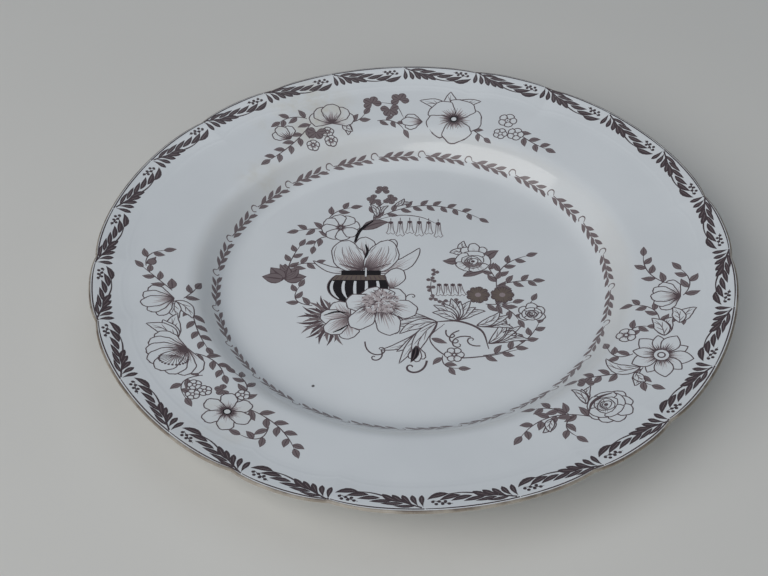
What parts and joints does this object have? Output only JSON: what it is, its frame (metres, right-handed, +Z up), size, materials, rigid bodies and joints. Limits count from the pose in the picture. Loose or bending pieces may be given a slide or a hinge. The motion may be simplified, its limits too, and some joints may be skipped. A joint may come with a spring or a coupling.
{
  "type": "china dinner plate",
  "caption": "Round china dinner plate with a softly lobed rim, printed flower sprays, a leafy border, a garland round the well and a vase of flowers in the middle.",
  "frame": {"origin": "on the table, under the centre of the foot ring", "axes": "+Z up through the plate's middle, +Y towards the back of the plate where the flower vase stands upright, +X to the right"},
  "size_m": [0.2606, 0.262, 0.0245],
  "materials": {
    "clay": "bare fired clay, fine and matt",
    "glaze": "clear gloss glaze over a cool white body",
    "print_ink": "dark brown-black print under the gloss",
    "edge_enamel": "thin worn brown line with a faint gilt sheen"
  },
  "bodies": {
    "root": {"clay_body": "clay", "face_glaze": "glaze", "recess_glaze": "glaze", "border_transfer": "print_ink", "edge_line": "edge_enamel", "verge_transfer": "print_ink", "spray_transfer_back": "print_ink", "spray_transfer_left": "print_ink", "spray_transfer_right": "print_ink", "centre_transfer": "print_ink", "backstamp_transfer": "print_ink"}
  },
  "joints": []
}
